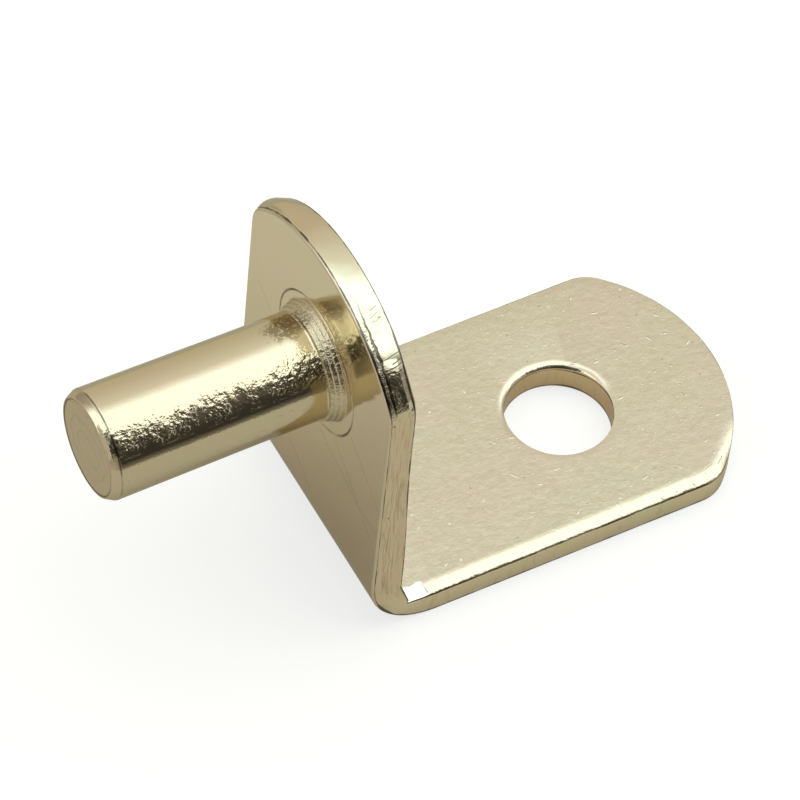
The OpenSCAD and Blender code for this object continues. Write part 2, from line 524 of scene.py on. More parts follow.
# %% Draw and spin the pin
PIN_R = 2.49
TIP_R = 2.55
REACH = 10.4
COLLAR_H = 0.65
COLLAR_R = 2.82
RIDGES = 3
FIRST_RIDGE = 0.11
RIDGE_RISE = 0.04
RIDGE_FOOT = 0.03
RIDGE_EDGE = 0.02
COLLAR_FLARE = 0.05
HEAD_DEEP = 0.05
HEAD_DISH = 0.03
SHANK_CUTS = 90
SPIN_STEPS = 168
RIDGE_H = COLLAR_H / RIDGES
# How a corner is rounded: the offset of its bevel and the segments
TIP_ROUND = (0.02, 3)
BEVEL_ROUND = (0.06, 4)
RIDGE_ROUND = (0.012, 3)
HEAD_ROUND = (0.12, 4)


def chain(bm, points):
    """Joins (distance along the pin, radius) points by extruding one vertex from each to the next."""
    at = [Vector((-along, 0, radius)) for along, radius in points]
    verts = [bmesh.ops.create_vert(bm, co=at[0])["vert"][0]]
    for here, there in zip(at, at[1:]):
        grown = bmesh.ops.extrude_vert_indiv(bm, verts=[verts[-1]])["verts"]
        bmesh.ops.translate(bm, vec=there - here, verts=grown)
        verts += grown
    return verts


def round_corner(bm, vert, offset, segments):
    bmesh.ops.bevel(bm, geom=[vert], offset=offset, offset_type="OFFSET", affect="VERTICES",
                    segments=segments, profile=0.5, material=-1)


tip = [(REACH, 0), (REACH - 0.01, 1.2), (REACH - 0.04, 2.2), (REACH - 0.015, 2.26),
       (REACH - 0.03, 2.33), (REACH - 0.43, TIP_R)]
root = [(3.0, PIN_R), (0.03, PIN_R)]
ridges = []
for i in range(RIDGES):
    ridge_r = PIN_R + FIRST_RIDGE + (COLLAR_R - PIN_R - FIRST_RIDGE - RIDGE_RISE) * i / (RIDGES - 1)
    start = -i * RIDGE_H
    end = start - RIDGE_H
    ridges += [(start, ridge_r - RIDGE_FOOT), (start - RIDGE_EDGE, ridge_r),
               (end + RIDGE_EDGE, ridge_r + RIDGE_RISE)]
neck = [(-COLLAR_H, COLLAR_R + COLLAR_FLARE), (-COLLAR_H, NECK_R), (-COLLAR_H - STRIP_T + SINK_H, NECK_R)]
head_r = SINK_R - HEAD_DEEP * (SINK_R - NECK_R) / SINK_H
head_at = -COLLAR_H - STRIP_T + HEAD_DEEP
head = [(head_at, head_r), (head_at + HEAD_DISH, 1.4), (head_at + HEAD_DISH, 0)]
turned = bmesh.new()
corners = chain(turned, tip + root + ridges + neck + head)
# The corners to round, by their place in the chain
soft = {2: TIP_ROUND, 3: TIP_ROUND, 4: TIP_ROUND, 5: BEVEL_ROUND}
for i in range(RIDGES):
    ridge_at = len(tip + root) + 3 * i
    soft[ridge_at + 1] = RIDGE_ROUND
    soft[ridge_at + 2] = RIDGE_ROUND
soft[len(corners) - 3] = HEAD_ROUND
for i, (offset, segments) in soft.items():
    round_corner(turned, corners[i], offset, segments)
shank = max(turned.edges, key=lambda e: e.calc_length())
bmesh.ops.subdivide_edges(turned, edges=[shank], cuts=SHANK_CUTS)
bmesh.ops.spin(turned, geom=turned.verts[:] + turned.edges[:], cent=(0, 0, 0), axis=(1, 0, 0),
               angle=2 * math.pi, steps=SPIN_STEPS, use_merge=True)
weld(turned)
bmesh.ops.recalc_face_normals(turned, faces=turned.faces)
for face in turned.faces:
    face.smooth = True
print("pin:", len(turned.faces), "faces, volume", round(turned.calc_volume(signed=True), 2), "mm3",
      "open edges", len([e for e in turned.edges if not e.is_manifold]))

# %% [markdown]
# ## Building materials from nodes
# The finishes are procedural. These helpers place nodes and join them, so that a material reads as a
# list of what feeds what. A socket knows its tree, so a node joins the tree of the sockets that feed
# it, and only one that nothing feeds is told its tree. Patterns are measured in millimetres on the
# piece's own coordinates. A mask is 0 where a mark is absent and 1 where it is full.

# %% Helpers for nodes


def place(kind, inputs=(), tree=None, **settings):
    """Adds a node, sets its properties, and gives its inputs values or links them to sockets."""
    inputs = dict(inputs)
    sockets = [value for value in inputs.values() if isinstance(value, bpy.types.NodeSocket)]
    tree = tree or sockets[0].id_data
    added = tree.nodes.new(kind)
    for name, value in settings.items():
        setattr(added, name, value)
    for key, value in inputs.items():
        if value in sockets:
            tree.links.new(value, added.inputs[key])
        else:
            added.inputs[key].default_value = value
    return added


def calc(operation, *values, clamp=False):
    return place("ShaderNodeMath", enumerate(values), operation=operation, use_clamp=clamp).outputs[0]


def chained(operation):
    """An operation on any number of values, worked from the left two at a time."""
    return lambda *values: reduce(lambda one, other: calc(operation, one, other), values)


plus, minus, times, over, most = [chained(o) for o in ("ADD", "SUBTRACT", "MULTIPLY", "DIVIDE", "MAXIMUM")]


def vector_calc(operation, *values, out=0):
    return place("ShaderNodeVectorMath", enumerate(values), operation=operation).outputs[out]


def stretch(vector, *sizes):
    return vector_calc("MULTIPLY", vector, sizes)


def scaled(vector, size):
    return place("ShaderNodeVectorMath", {0: vector, "Scale": size}, operation="SCALE").outputs[0]


def relative(vector, point):
    """A place as measured from a point."""
    return vector_calc("SUBTRACT", vector, point)


def length_of(vector):
    return vector_calc("LENGTH", vector, out=1)


def xyz(vector):
    return place("ShaderNodeSeparateXYZ", {0: vector}).outputs


def swap_axes(vector, axes):
    """Lays two of a vector's axes out as X and Y, for a pattern on a flat face."""
    parts = xyz(vector)
    return place("ShaderNodeCombineXYZ", {0: parts[axes[0]], 1: parts[axes[1]]}).outputs[0]


def remap(value, low, high, to_low=0.0, to_high=1.0):
    inputs = {0: value, 1: low, 2: high, 3: to_low, 4: to_high}
    return place("ShaderNodeMapRange", inputs, clamp=True).outputs[0]


def blend_colors(factor, first, second, mode="MIX"):
    inputs = {0: factor, 6: first, 7: second}
    return place("ShaderNodeMix", inputs, data_type="RGBA", blend_type=mode).outputs[2]


def noise_of(vector, size, detail=2.0, roughness=0.5, out=0):
    inputs = {"Vector": vector, "Scale": 1 / size, "Detail": detail, "Roughness": roughness}
    return place("ShaderNodeTexNoise", inputs).outputs[out]


def between(value, start, end):
    """A mask that rises over one span of a value and falls over another."""
    return times(remap(value, *start), remap(value, *end))


def apart(*values):
    return calc("ABSOLUTE", minus(*values))


def patches(vector, size, detail, *span):
    """Noise between two levels: span is the low one, the high one, and what each becomes."""
    return remap(noise_of(vector, size, detail), *span)


def wandering(vector, size, low, high):
    """A roughness that wanders between two values, from one patch to the next."""
    return patches(vector, size, 2.0, 0.35, 0.65, low, high)


def cells_of(vector, size, dimensions):
    """The outputs of a Voronoi pattern, and three chances between 0 and 1 for each of its cells."""
    inputs = {"Vector": vector, "Scale": over(1.0, size), "Randomness": 1.0}
    settings = {"voronoi_dimensions": dimensions, "feature": "F1"}
    cells = place("ShaderNodeTexVoronoi", inputs, **settings).outputs
    return cells, place("ShaderNodeSeparateColor", {0: cells["Color"]}).outputs


def nudged(vector, size, detail, amount):
    """A place pushed a little this way and that by noise."""
    push = relative(noise_of(vector, size, detail, out=1), (0.5, 0.5, 0.5))
    return vector_calc("ADD", vector, scaled(push, amount))

# %% [markdown]
# An effect that several finishes share is a node group, made once and placed in each with its own
# values.

# %% Helpers for node groups
ORIGIN = (0.0, 0.0, 0.0)


def new_group(name, output, kind, **inputs):
    """A node group with one output, and inputs given by their defaults."""
    group = bpy.data.node_groups.new(name, "ShaderNodeTree")
    for label, default in inputs.items():
        kind_in = "NodeSocketVector" if isinstance(default, tuple) else "NodeSocketFloat"
        group.interface.new_socket(label, in_out="INPUT", socket_type=kind_in).default_value = default
    group.interface.new_socket(output, in_out="OUTPUT", socket_type=kind)
    return group, group.nodes.new("NodeGroupInput").outputs


def end_group(value):
    place("NodeGroupOutput", {0: value})
    print("group", value.id_data.name, "of", len(value.id_data.nodes), "nodes")


def use_group(group, **inputs):
    return place("ShaderNodeGroup", inputs, node_tree=group).outputs[0]

# %% [markdown]
# ## Tints of the plating
# A thin bright brass plate is never one colour. Passivation leaves clouds a few millimetres wide that
# lean to green or to pink. The group gives a colour to multiply with.

# %% Group for the clouds in the plating
GREENISH = (0.965, 1.0, 0.95, 1)
PINKISH = (1.0, 0.965, 0.975, 1)
UNTINTED = (1, 1, 1, 1)
clouds, socket = new_group("plating_clouds", "Tint", "NodeSocketColor", Place=ORIGIN, Size=3.0, Depth=1.0)
wide = noise_of(socket["Place"], 1.0, 3.0)
clouds.links.new(over(1.0, socket["Size"]), wide.node.inputs["Scale"])
lean = blend_colors(remap(wide, 0.38, 0.62), GREENISH, PINKISH)
end_group(blend_colors(socket["Depth"], UNTINTED, lean))

# %% [markdown]
# ## Dashes, dots and pits
# Handling in a bag of other pins leaves short bright nicks, each lying its own way. One cell of a
# Voronoi pattern holds one nick: the cell gives it a place, a direction and a strength at random.
# Long thin nicks make dashes, and short wide ones make dots and pits.

# %% Group for nicks
nicks, socket = new_group("handling_nicks", "Mask", "NodeSocketFloat", Place=ORIGIN, Cell=1.0, Length=0.4,
                          Width=0.08, Turn=0.6, Share=0.4)
cells, chance = cells_of(socket["Place"], socket["Cell"], "2D")
away = relative(socket["Place"], cells["Position"])
turn = times(minus(chance[0], 0.5), socket["Turn"], 2.0)
inputs = {"Vector": stretch(away, 1, 1, 0), "Angle": turn}
local = xyz(place("ShaderNodeVectorRotate", inputs, rotation_type="Z_AXIS").outputs[0])
length = times(socket["Length"], remap(chance[1], 0, 1, 0.3, 1.0))
along = over(local[0], length)
across = over(local[1], socket["Width"])
reach = calc("SQRT", plus(times(along, along), times(across, across)))
kept = calc("LESS_THAN", chance[2], socket["Share"])
end_group(times(remap(reach, 1.0, 0.4), kept))

# %% [markdown]
# ## Single scratches
# A few scratches and cracks stand out on their own. Each is a line between two points of a flat face.
# The group measures how far a point lies from that line, and a little noise keeps it from being drawn
# with a ruler.

# %% Group for one scratch
scratch, socket = new_group("single_scratch", "Mask", "NodeSocketFloat", Place=ORIGIN, From=ORIGIN,
                            To=(1.0, 0.0, 0.0), Width=0.03, Waver=0.1)
flat = stretch(socket["Place"], 1, 1, 0)
wavy = nudged(flat, 0.7, 3.0, socket["Waver"])
from_start = relative(wavy, socket["From"])
whole = relative(socket["To"], socket["From"])
run = calc("DIVIDE", vector_calc("DOT_PRODUCT", from_start, whole, out=1),
           vector_calc("DOT_PRODUCT", whole, whole, out=1), clamp=True)
from_line = relative(from_start, scaled(whole, run))
distance = length_of(stretch(from_line, 1, 1, 0))
end_group(remap(over(distance, socket["Width"]), 1.0, 0.3))


def scratches(vector, lines, width, waver):
    """The masks of several scratches together, from (x, y, x, y) of their ends."""
    return most(*[use_group(scratch, Place=vector, From=(x, y, 0.0), To=(to_x, to_y, 0.0),
                            Width=width, Waver=waver) for x, y, to_x, to_y in lines])

# %% [markdown]
# ## Shade and tarnish along an edge
# This group draws a dark line at one height through the sheet. It paints shade along the burr and in the
# corner under the roll's lip, and it also draws the dark vein on the arc. Its width comes and goes along
# the edge.

# %% Group for the line of shade and tarnish
shade_and_tarnish_line, socket = new_group("edge_shade_and_tarnish", "Mask", "NodeSocketFloat", Place=ORIGIN, Height=0.0, Width=0.05,
                            Wander=0.03)
run_along = stretch(socket["Place"], 1, 1, 0.3)
wander = times(minus(noise_of(run_along, 0.6, 3.0), 0.5), socket["Wander"])
height = xyz(socket["Place"])[2]
distance = apart(height, socket["Height"], wander)
thick = times(socket["Width"], patches(run_along, 1.1, 4.0, 0.38, 0.62, 0.35, 1.25))
end_group(remap(over(distance, thick), 1.0, 0.6))

# %% [markdown]
# ## The metal
# Every finish is one metal in a different state: a Principled BSDF with Metallic at 1, which takes the
# plating's colour, a roughness and a bump. A real alloy doesn't turn quite white at grazing angles, so
# the specular tint holds its edges down. Each finish below is a function that gives its own colour,
# roughness and normal, and metal() builds the material round them.

# %% Make a metal
GRAZING = (0.85, 0.82, 0.75, 1)


def empty_tree(owner):
    """The node tree of a material or a world, with nothing in it yet."""
    owner.use_nodes = True
    owner.node_tree.nodes.clear()
    return owner.node_tree


def metal(name, finish, grazing=GRAZING):
    """A material of a finish, which is given the piece's coordinates in millimetres."""
    material = bpy.data.materials.new(name)
    tree = empty_tree(material)
    object_place = place("ShaderNodeTexCoord", tree=tree).outputs["Object"]
    color, rough, normal = finish(stretch(object_place, 1 / MM, 1 / MM, 1 / MM))
    inputs = {"Metallic": 1.0, "Specular Tint": grazing, "Base Color": color, "Roughness": rough,
              "Normal": normal}
    shader = place("ShaderNodeBsdfPrincipled", inputs)
    place("ShaderNodeOutputMaterial", {"Surface": shader.outputs[0]})
    print("material", name, "of", len(tree.nodes), "nodes")
    return material


def flat_of(mm):
    """Where a point of the bracket lies in the flat blank, in millimetres."""
    return place("ShaderNodeAttribute", tree=mm.id_data, attribute_name=FLAT_PLACE).outputs["Vector"]


def bumps(*layers):
    """The normal of bumps one over the other, from the height of each and its depth in millimetres."""
    under = {}
    for height, depth_mm in layers:
        inputs = {"Height": height, "Distance": depth_mm * MM, "Strength": 1.0, **under}
        under = {"Normal": place("ShaderNodeBump", inputs).outputs[0]}
    return under["Normal"]


def clouded(place_mm, size, depth, color):
    """A plating colour with clouds of the given size and depth in it."""
    tint = use_group(clouds, Place=place_mm, Size=size, Depth=depth)
    return blend_colors(1.0, color, tint, "MULTIPLY")


def painted(color, *marks):
    """A colour with marks over it, from the mask of each, its share at most and its colour."""
    for mask, share, mark in marks:
        color = blend_colors(times(mask, share), color, mark)
    return color

# %% [markdown]
# ## Colours
# Each part of the surface has its own colour of the same plate, because a stamped, a torn and a turned
# surface each take it differently. A few of them also paint light and shade: the outer face's high and low
# colours, the lighter front side and the arc's pale part.

# %% Colours of the plating
PLATE = (0.70, 0.61, 0.43, 1)
PIN_PLATE = (0.67, 0.58, 0.39, 1)
TIP_PLATE = (0.71, 0.585, 0.40, 1)
SHADED_LOW_PLATE = (0.79, 0.65, 0.435, 1)
LIT_HIGH_PLATE = (0.915, 0.81, 0.58, 1)
SIDE_PLATE = (0.77, 0.635, 0.43, 1)
ARC_PLATE = (0.65, 0.56, 0.38, 1)
PALE_REFLECTION_PLATE = (0.76, 0.70, 0.50, 1)
WEAR_AND_HIGHLIGHT_WHITE = (0.90, 0.88, 0.82, 1)
LIT_FRONT_PLATE = (0.86, 0.75, 0.49, 1)
SATIN = (0.615, 0.54, 0.39, 1)
TARNISH_AND_SHADE = (0.055, 0.042, 0.022, 1)
STAIN_AND_SHADE = (0.21, 0.155, 0.075, 1)
BORE_GOLD = (0.87, 0.66, 0.38, 1)

# %% [markdown]
# ## Painted shade along the edges
# The burr's line and the lip's line are painted shade, dark wherever they run, on the sides, the holes and
# the rims, so they are made once. They are read in the flat blank: the middle of the bend is at X = 0, the
# shelf leg runs to +X and the back leg to -X. A zone is given by where it starts and where it is full.

# %% Painted shade lines of the burr and the lip
BURR_LINE_Z = 0.12
BURR_LINE_X = (-2.0, 1.0)
BURR_LINE_W = (0.022, 0.055)
LIP_LINE_Z = LIP_Z + 0.006
LIP_LINE_W = 0.046
ARC_ZONE = (-14.6, -15.3)
BEND_ZONE = ((-2.4, -1.2), (2.4, 1.2))
FOLD_ZONE = ((-1.2, -0.6), (0.65, 0.5))
WIDER_ON_ARC = 0.03
WIDER_IN_BEND = 0.04
WIDER_IN_FOLD = 0.06


def painted_edge_shade(mm):
    """The dark lines of painted shade along the burr and under the roll's lip."""
    flat_place = flat_of(mm)
    run = xyz(flat_place)[0]
    in_bend, in_fold = [between(run, *zone) for zone in (BEND_ZONE, FOLD_ZONE)]
    on_arc = remap(run, *ARC_ZONE, 0.0, WIDER_ON_ARC)
    burr_w = plus(remap(run, *BURR_LINE_X, *BURR_LINE_W), on_arc, times(in_bend, WIDER_IN_BEND))
    lip_w = plus(on_arc, LIP_LINE_W, times(in_fold, WIDER_IN_FOLD))
    burr = use_group(shade_and_tarnish_line, Place=flat_place, Height=BURR_LINE_Z, Width=burr_w, Wander=0.04)
    lip = use_group(shade_and_tarnish_line, Place=flat_place, Height=LIP_LINE_Z, Width=lip_w, Wander=0.03)
    return most(burr, lip)

# %% [markdown]
# ## Inner faces
# The inner faces kept the rolled sheet's satin skin under the plating: a soft mottle, with light flakes and
# nicks, whose light colour is partly wear and partly a painted glint of the softbox. On the roll the punch
# has burnished that skin away, so the finish turns to bright plate by the depth that each vertex of the
# roll wrote down. The roll has a few cracks of its own, where the fold ends it and where it turns the near
# corner of the tip. Where the fold pressed it full, a white patch is painted as a highlight, and the dark
# lines along the burr and under the lip are painted shade.

# %% Satin finish of the inner faces
TIP_CRACKS = [(18.1, -5.7, 18.5, -5.62), (18.85, -5.68, 19.2, -5.25), (18.0, -5.9, 18.1, -5.85),
              (17.2, -6.18, 17.26, -6.24), (16.4, -6.16, 16.46, -6.24), (15.6, -6.2, 15.64, -6.26)]
FOLD_CRACKS = [(2.7, -5.72, 2.95, -5.65), (2.95, -5.65, 3.2, -5.70), (3.2, -5.70, 3.55, -5.68),
               (3.55, -5.68, 3.66, -6.22)]
BURNISHED = (0.12, 0.5)
HIGHLIGHT_BEFORE_X = (3.62, 3.52)
HIGHLIGHT_BELOW_Y = (-5.58, -5.64)
MORE_NICKS = (8.0, 15.0, 0.5, 1.25)


def satin_nicks(face, mm, along):
    """Dashes, and how much the skin is struck by dashes and dots: more of both towards the tip."""
    dashes = use_group(nicks, Place=face, Cell=1.15, Length=0.24, Width=0.05, Turn=1.5, Share=0.34)
    dots = use_group(nicks, Place=face, Cell=0.5, Length=0.07, Width=0.045, Turn=3.0, Share=0.35)
    patchy = patches(mm, 2.6, 2.0, 0.42, 0.62, 0.2, 1.0)
    struck = plus(times(dashes, 2.6), times(dots, 1.2))
    return times(dashes, patchy), times(struck, patchy, remap(along, *MORE_NICKS))


def satin_finish(mm):
    face = swap_axes(mm, (0, 1))
    parts = xyz(mm)
    rolled = place("ShaderNodeAttribute", tree=mm.id_data, attribute_name=ROLL_DEPTH).outputs["Fac"]
    rolled = remap(rolled, *BURNISHED)
    unrolled = minus(1.0, rolled)
    dashes, struck = satin_nicks(face, mm, parts[0])
    specks = use_group(nicks, Place=stretch(face, 1, -1, 1), Cell=2.2, Length=0.07, Width=0.05,
                       Turn=3.0, Share=0.5)
    pits = use_group(nicks, Place=face, Cell=0.55, Length=0.08, Width=0.045, Turn=3.0, Share=0.2)
    cracks = most(times(scratches(face, TIP_CRACKS, 0.03, 0.5), 0.6),
                  times(scratches(face, FOLD_CRACKS, 0.028, 0.12), 0.8))
    dark = most(times(most(cracks, times(pits, 0.3)), rolled), painted_edge_shade(mm))
    ragged = plus(times(noise_of(mm, 0.35, 3.0), 0.35), -0.17)
    # Painted highlight: a white patch where the fold pressed the roll full.
    white = times(remap(plus(parts[0], ragged), *HIGHLIGHT_BEFORE_X),
                  remap(plus(parts[1], ragged), *HIGHLIGHT_BELOW_Y))

    skin = noise_of(stretch(mm, 1, 1.25, 1), 0.55, 4.0, 0.65)
    normal = bumps((times(skin, unrolled), 0.014), (noise_of(mm, 0.17, 3.0, 0.6), 0.004),
                   (times(struck, unrolled), 0.007), (times(noise_of(mm, 0.5, 3.0), rolled), 0.030),
                   (cracks, -0.008))
    mottle = remap(noise_of(mm, 0.34, 4.0, 0.7), 0.35, 0.65)
    # The dashes' white is partly wear and partly painted glint, and the dark holds real cracks and pits
    # with the painted shade of the edges.
    color = painted(clouded(mm, 4.0, 0.65, SATIN), (mottle, 0.10, STAIN_AND_SHADE), (specks, 0.6, STAIN_AND_SHADE),
                    (times(dashes, unrolled), 0.35, WEAR_AND_HIGHLIGHT_WHITE), (rolled, 1.0, PLATE),
                    (white, 1.0, WEAR_AND_HIGHLIGHT_WHITE), (dark, 0.9, TARNISH_AND_SHADE))
    skin_rough = wandering(mm, 1.7, 0.14, 0.19)
    rough = place("ShaderNodeMix", {0: rolled, 2: skin_rough, 3: 0.11}, data_type="FLOAT").outputs[0]
    return color, rough, normal


satin_plate = metal("satin_plate", satin_finish)

# %% [markdown]
# ## Outer faces
# The outer faces are polished: they mirror the pin. Their colour is painted lighter high on the back leg
# and darker towards the bend, a painted reflection of the floor, which lies in shade near the foot. A few
# long hairline scratches cross it, and the groove that the staking die prints is darkened with painted
# shade.

# %% Polished finish of the outer faces
HAIRLINES = [(5.32, -0.64, 3.93, -1.46), (1.62, -7.55, -0.57, -8.85), (-0.9, -4.0, -4.4, -5.1),
             (-4.4, -5.1, -6.3, -5.2), (-3.4, -1.5, -6.3, -3.6), (-2.2, -3.2, -5.9, -6.2),
             (4.6, -4.2, 3.4, -6.4)]
PRINT_LINE = (0.06, 0.035)
LIT_UPWARDS = (-6.0, 4.0)
SHADED_DOWNWARDS = (-5.0, -11.0)


def polished_finish(mm):
    parts = xyz(mm)
    hair = use_group(nicks, Place=swap_axes(mm, (2, 1)), Cell=4.0, Length=2.6, Width=0.02,
                     Turn=0.25, Share=0.4)
    lines = scratches(swap_axes(mm, (1, 2)), HAIRLINES, 0.035, 0.25)
    from_print = stretch(relative(flat_of(mm), tuple(print_at)), 1, 1, 0)
    # Painted shade: the groove of the die's print is darkened as if shade lay in it.
    ring = remap(apart(length_of(from_print), PRINT_R), *PRINT_LINE)
    ring = times(ring, patches(mm, 1.2, 2.0, 0.35, 0.6, 0.4, 0.85))
    normal = bumps((noise_of(mm, 2.4, 1.0), 0.012), (noise_of(mm, 0.16, 3.0, 0.6), 0.0025),
                   (plus(hair, lines), 0.004))
    # Painted reflection: lighter high on the back leg and darker towards the bend, for the floor's shade
    # that the face mirrors near the foot.
    up_far = plus(times(parts[1], 0.5), parts[2])
    color = blend_colors(remap(up_far, *LIT_UPWARDS), SHADED_LOW_PLATE, LIT_HIGH_PLATE)
    painted_low_shade = remap(up_far, *SHADED_DOWNWARDS)
    color = painted(clouded(mm, 5.0, 0.6, color), (painted_low_shade, 0.25, STAIN_AND_SHADE), (lines, 0.4, STAIN_AND_SHADE),
                    (ring, 1.0, TARNISH_AND_SHADE))
    return color, wandering(mm, 0.9, 0.08, 0.12), normal


polished_plate = metal("polished_plate", polished_finish)

# %% [markdown]
# ## The burr
# The rim of the outer face is a small rounded burr, bright, with a slight ripple where the metal tore
# away from the punch.

# %% Finish of the burr


def burr_finish(mm):
    normal = bumps((noise_of(mm, 0.5, 3.0), 0.016), (noise_of(mm, 0.12, 3.0, 0.6), 0.005))
    # Painted shade: a dark line along the burr and under the lip.
    color = painted(clouded(mm, 2.0, 0.6, PLATE), (painted_edge_shade(mm), 0.9, TARNISH_AND_SHADE))
    return color, wandering(mm, 0.4, 0.14, 0.20), normal


burred_rim = metal("burred_rim", burr_finish)

# %% [markdown]
# ## Marks of the shearing
# The side is burnished where the punch slid. Where the sheet gave way, next to the outer face, it is
# torn, rough and dark, most of all at the near corner of the back leg, where the punch broke through
# first. A dark vein with loose grains leads to that corner along the arc, with cracks across it. Down
# the side of the back leg run drawn scratches and a few pits.

# %% Marks on the corner, the arc and the leg
TORN_CORNER = (-15.98, -5.54, 0.6)
TORN_WITHIN = (1.30, 0.80)
ARC_CRACKS = [(-4.40, 1.16, -4.52, 0.60), (-4.66, 1.16, -4.74, 0.80), (-4.80, 1.18, -4.92, 0.45),
              (-5.00, 1.14, -5.06, 0.85)]
HATCHING = [(-2.45, 1.05, -2.55, 0.75), (-2.72, 0.98, -2.86, 0.62), (-2.95, 1.0, -3.05, 0.78)]
VEIN_Y = (-1.6, -3.0)
GRAINS_Y = (-2.6, -3.6)
GRAINS_Z = (0.46, 0.36)
BRUISE = (-17.9, -2.95, 0.72)
BRUISE_WITHIN = (0.75, 0.25)
LEG_SCRATCHES = [(-2.6, 0.42, -9.5, 0.50), (-4.4, 0.36, -8.1, 0.30), (-1.7, 0.62, -6.3, 0.55),
                 (-6.5, 0.66, -11.5, 0.72)]
PITS_Z = (0.9, 0.3)


def torn_corner(flat_place, parts):
    """How near the torn corner is, and how torn the side is there and along its outer edge."""
    from_corner = length_of(relative(flat_place, TORN_CORNER))
    corner = remap(from_corner, *TORN_WITHIN)
    edge_noise = noise_of(stretch(flat_place, 1, 1, 0.5), 0.45, 5.0, 0.65)
    border = plus(times(corner, 1.5), -0.25, times(minus(edge_noise, 0.5), 1.5))
    torn = remap(minus(border, parts[2]), -0.03, 0.05)
    return corner, times(torn, remap(corner, 0, 1, 0.5, 1.0))


def arc_marks(flat_place, parts):
    vein = use_group(shade_and_tarnish_line, Place=flat_place, Height=0.36, Width=0.07, Wander=0.24)
    vein = times(vein, remap(parts[1], *VEIN_Y))
    grains = times(patches(flat_place, 0.085, 2.0, 0.53, 0.60),
                   remap(parts[2], *GRAINS_Z), remap(parts[1], *GRAINS_Y))
    side = swap_axes(flat_place, (1, 2))
    hatching = times(scratches(side, HATCHING, 0.022, 0.12), 0.5)
    return most(vein, grains, scratches(side, ARC_CRACKS, 0.026, 0.08), hatching)


def arc_bruise(flat_place):
    from_bruise = stretch(relative(flat_place, BRUISE), 0.6, 1.0, 1.3)
    lines = noise_of(stretch(flat_place, 1, 1, 0.25), 0.10, 3.0, 0.6)
    return times(remap(length_of(from_bruise), *BRUISE_WITHIN), remap(lines, 0.50, 0.60))


def leg_marks(flat_place, parts):
    side = swap_axes(flat_place, (0, 2))
    pits = use_group(nicks, Place=side, Cell=0.6, Length=0.12, Width=0.06, Turn=3.0, Share=0.22)
    drawn = scratches(side, LEG_SCRATCHES, 0.020, 0.30)
    return most(times(pits, remap(parts[2], *PITS_Z)), times(drawn, 0.4))

# %% [markdown]
# ## Sheared sides
# The sides bring these marks together. Fine streaks run down the back leg's side, and upright ones cross
# the shelf leg's, whose colour is painted lighter for the light that falls on it. The arc's side is painted
# paler towards the near corner, a painted reflection of the softbox, and there, where it is torn, it rounds
# off below the lip. On the inside of the bend a dark line of painted shade lies in the crease of the
# pinched metal.

# %% Sheared finish of the sides
ON_ARC = (-14.8, -15.4)
ON_BACK = (0.0, -2.0)
ON_FRONT = (0.0, 2.0)
FOLD_CREASE_SHADE = [(2.65, -11.1, 2.17, -9.75)]
BEAD_Z = (1.00, 1.20)
REFLECTION_PALES_Y = (2.8, 0.0)


def sheared_finish(mm):
    flat_place = flat_of(mm)
    parts = xyz(flat_place)
    on_arc, on_back, on_front = [remap(parts[0], *zone) for zone in (ON_ARC, ON_BACK, ON_FRONT)]
    on_leg = minus(on_back, on_arc)
    corner, torn = torn_corner(flat_place, parts)
    # Painted shade: a dark line in the crease of the bend, besides the edges' dark lines; the arc's and the
    # leg's marks are real.
    fold_crease_shade = scratches(swap_axes(mm, (0, 2)), FOLD_CREASE_SHADE, 0.13, 0.06)
    dark = most(painted_edge_shade(mm), fold_crease_shade, times(arc_marks(flat_place, parts), on_arc),
                times(leg_marks(flat_place, parts), on_leg))
    long_way = noise_of(stretch(flat_place, 0.07, 1, 1), 0.11, 4.0, 0.65)
    streaks = times(remap(long_way, 0.50, 0.62), on_leg)
    upright = noise_of(stretch(flat_place, 1, 1, 0.2), 0.35, 4.0, 0.65)
    upright = times(remap(upright, 0.56, 0.66), on_front)
    swell = noise_of(mm, 0.8, 1.0)
    bead = times(remap(parts[2], *BEAD_Z), corner)

    normal = bumps((swell, 0.012), (times(swell, corner), 0.06), (times(long_way, on_leg), 0.012),
                   (times(noise_of(mm, 0.26, 2.0, 0.6), torn), 0.05), (bead, -0.10), (dark, -0.012))
    # Painted reflection: the arc's side pales towards the near corner, where it mirrors the softbox.
    arc_color = blend_colors(remap(parts[1], *REFLECTION_PALES_Y), ARC_PLATE, PALE_REFLECTION_PLATE)
    # Painted light: the shelf leg's sheared side is a lighter copy of the back leg's.
    color = blend_colors(on_back, LIT_FRONT_PLATE, SIDE_PLATE)
    color = clouded(mm, 1.6, 0.9, blend_colors(on_arc, color, arc_color))
    color = painted(color, (streaks, 0.32, STAIN_AND_SHADE), (upright, 0.14, STAIN_AND_SHADE),
                    (arc_bruise(flat_place), 0.6, STAIN_AND_SHADE), (torn, 0.55, STAIN_AND_SHADE), (dark, 0.85, TARNISH_AND_SHADE))
    return color, remap(torn, 0, 1, 0.11, 0.15), normal


sheared_side = metal("sheared_side", sheared_finish)

# %% [markdown]
# ## Walls of the holes
# A hole's wall is burnished by the punch over most of its height and breaks out near the outer face.
# Fine lines run down it.

# %% Finish of the holes' walls


def bore_finish(mm):
    lines = noise_of(stretch(flat_of(mm), 1, 1, 0.25), 0.22, 4.0, 0.6)
    # Painted shade: the dark lines of the burr and the lip run round the wall too.
    color = painted(clouded(mm, 1.2, 1.0, BORE_GOLD),
                    (remap(lines, 0.5, 0.7), 0.12, STAIN_AND_SHADE), (painted_edge_shade(mm), 0.8, TARNISH_AND_SHADE))
    return color, remap(lines, 0.35, 0.65, 0.08, 0.16), bumps((lines, 0.006))


punched_bore = metal("punched_bore", bore_finish)

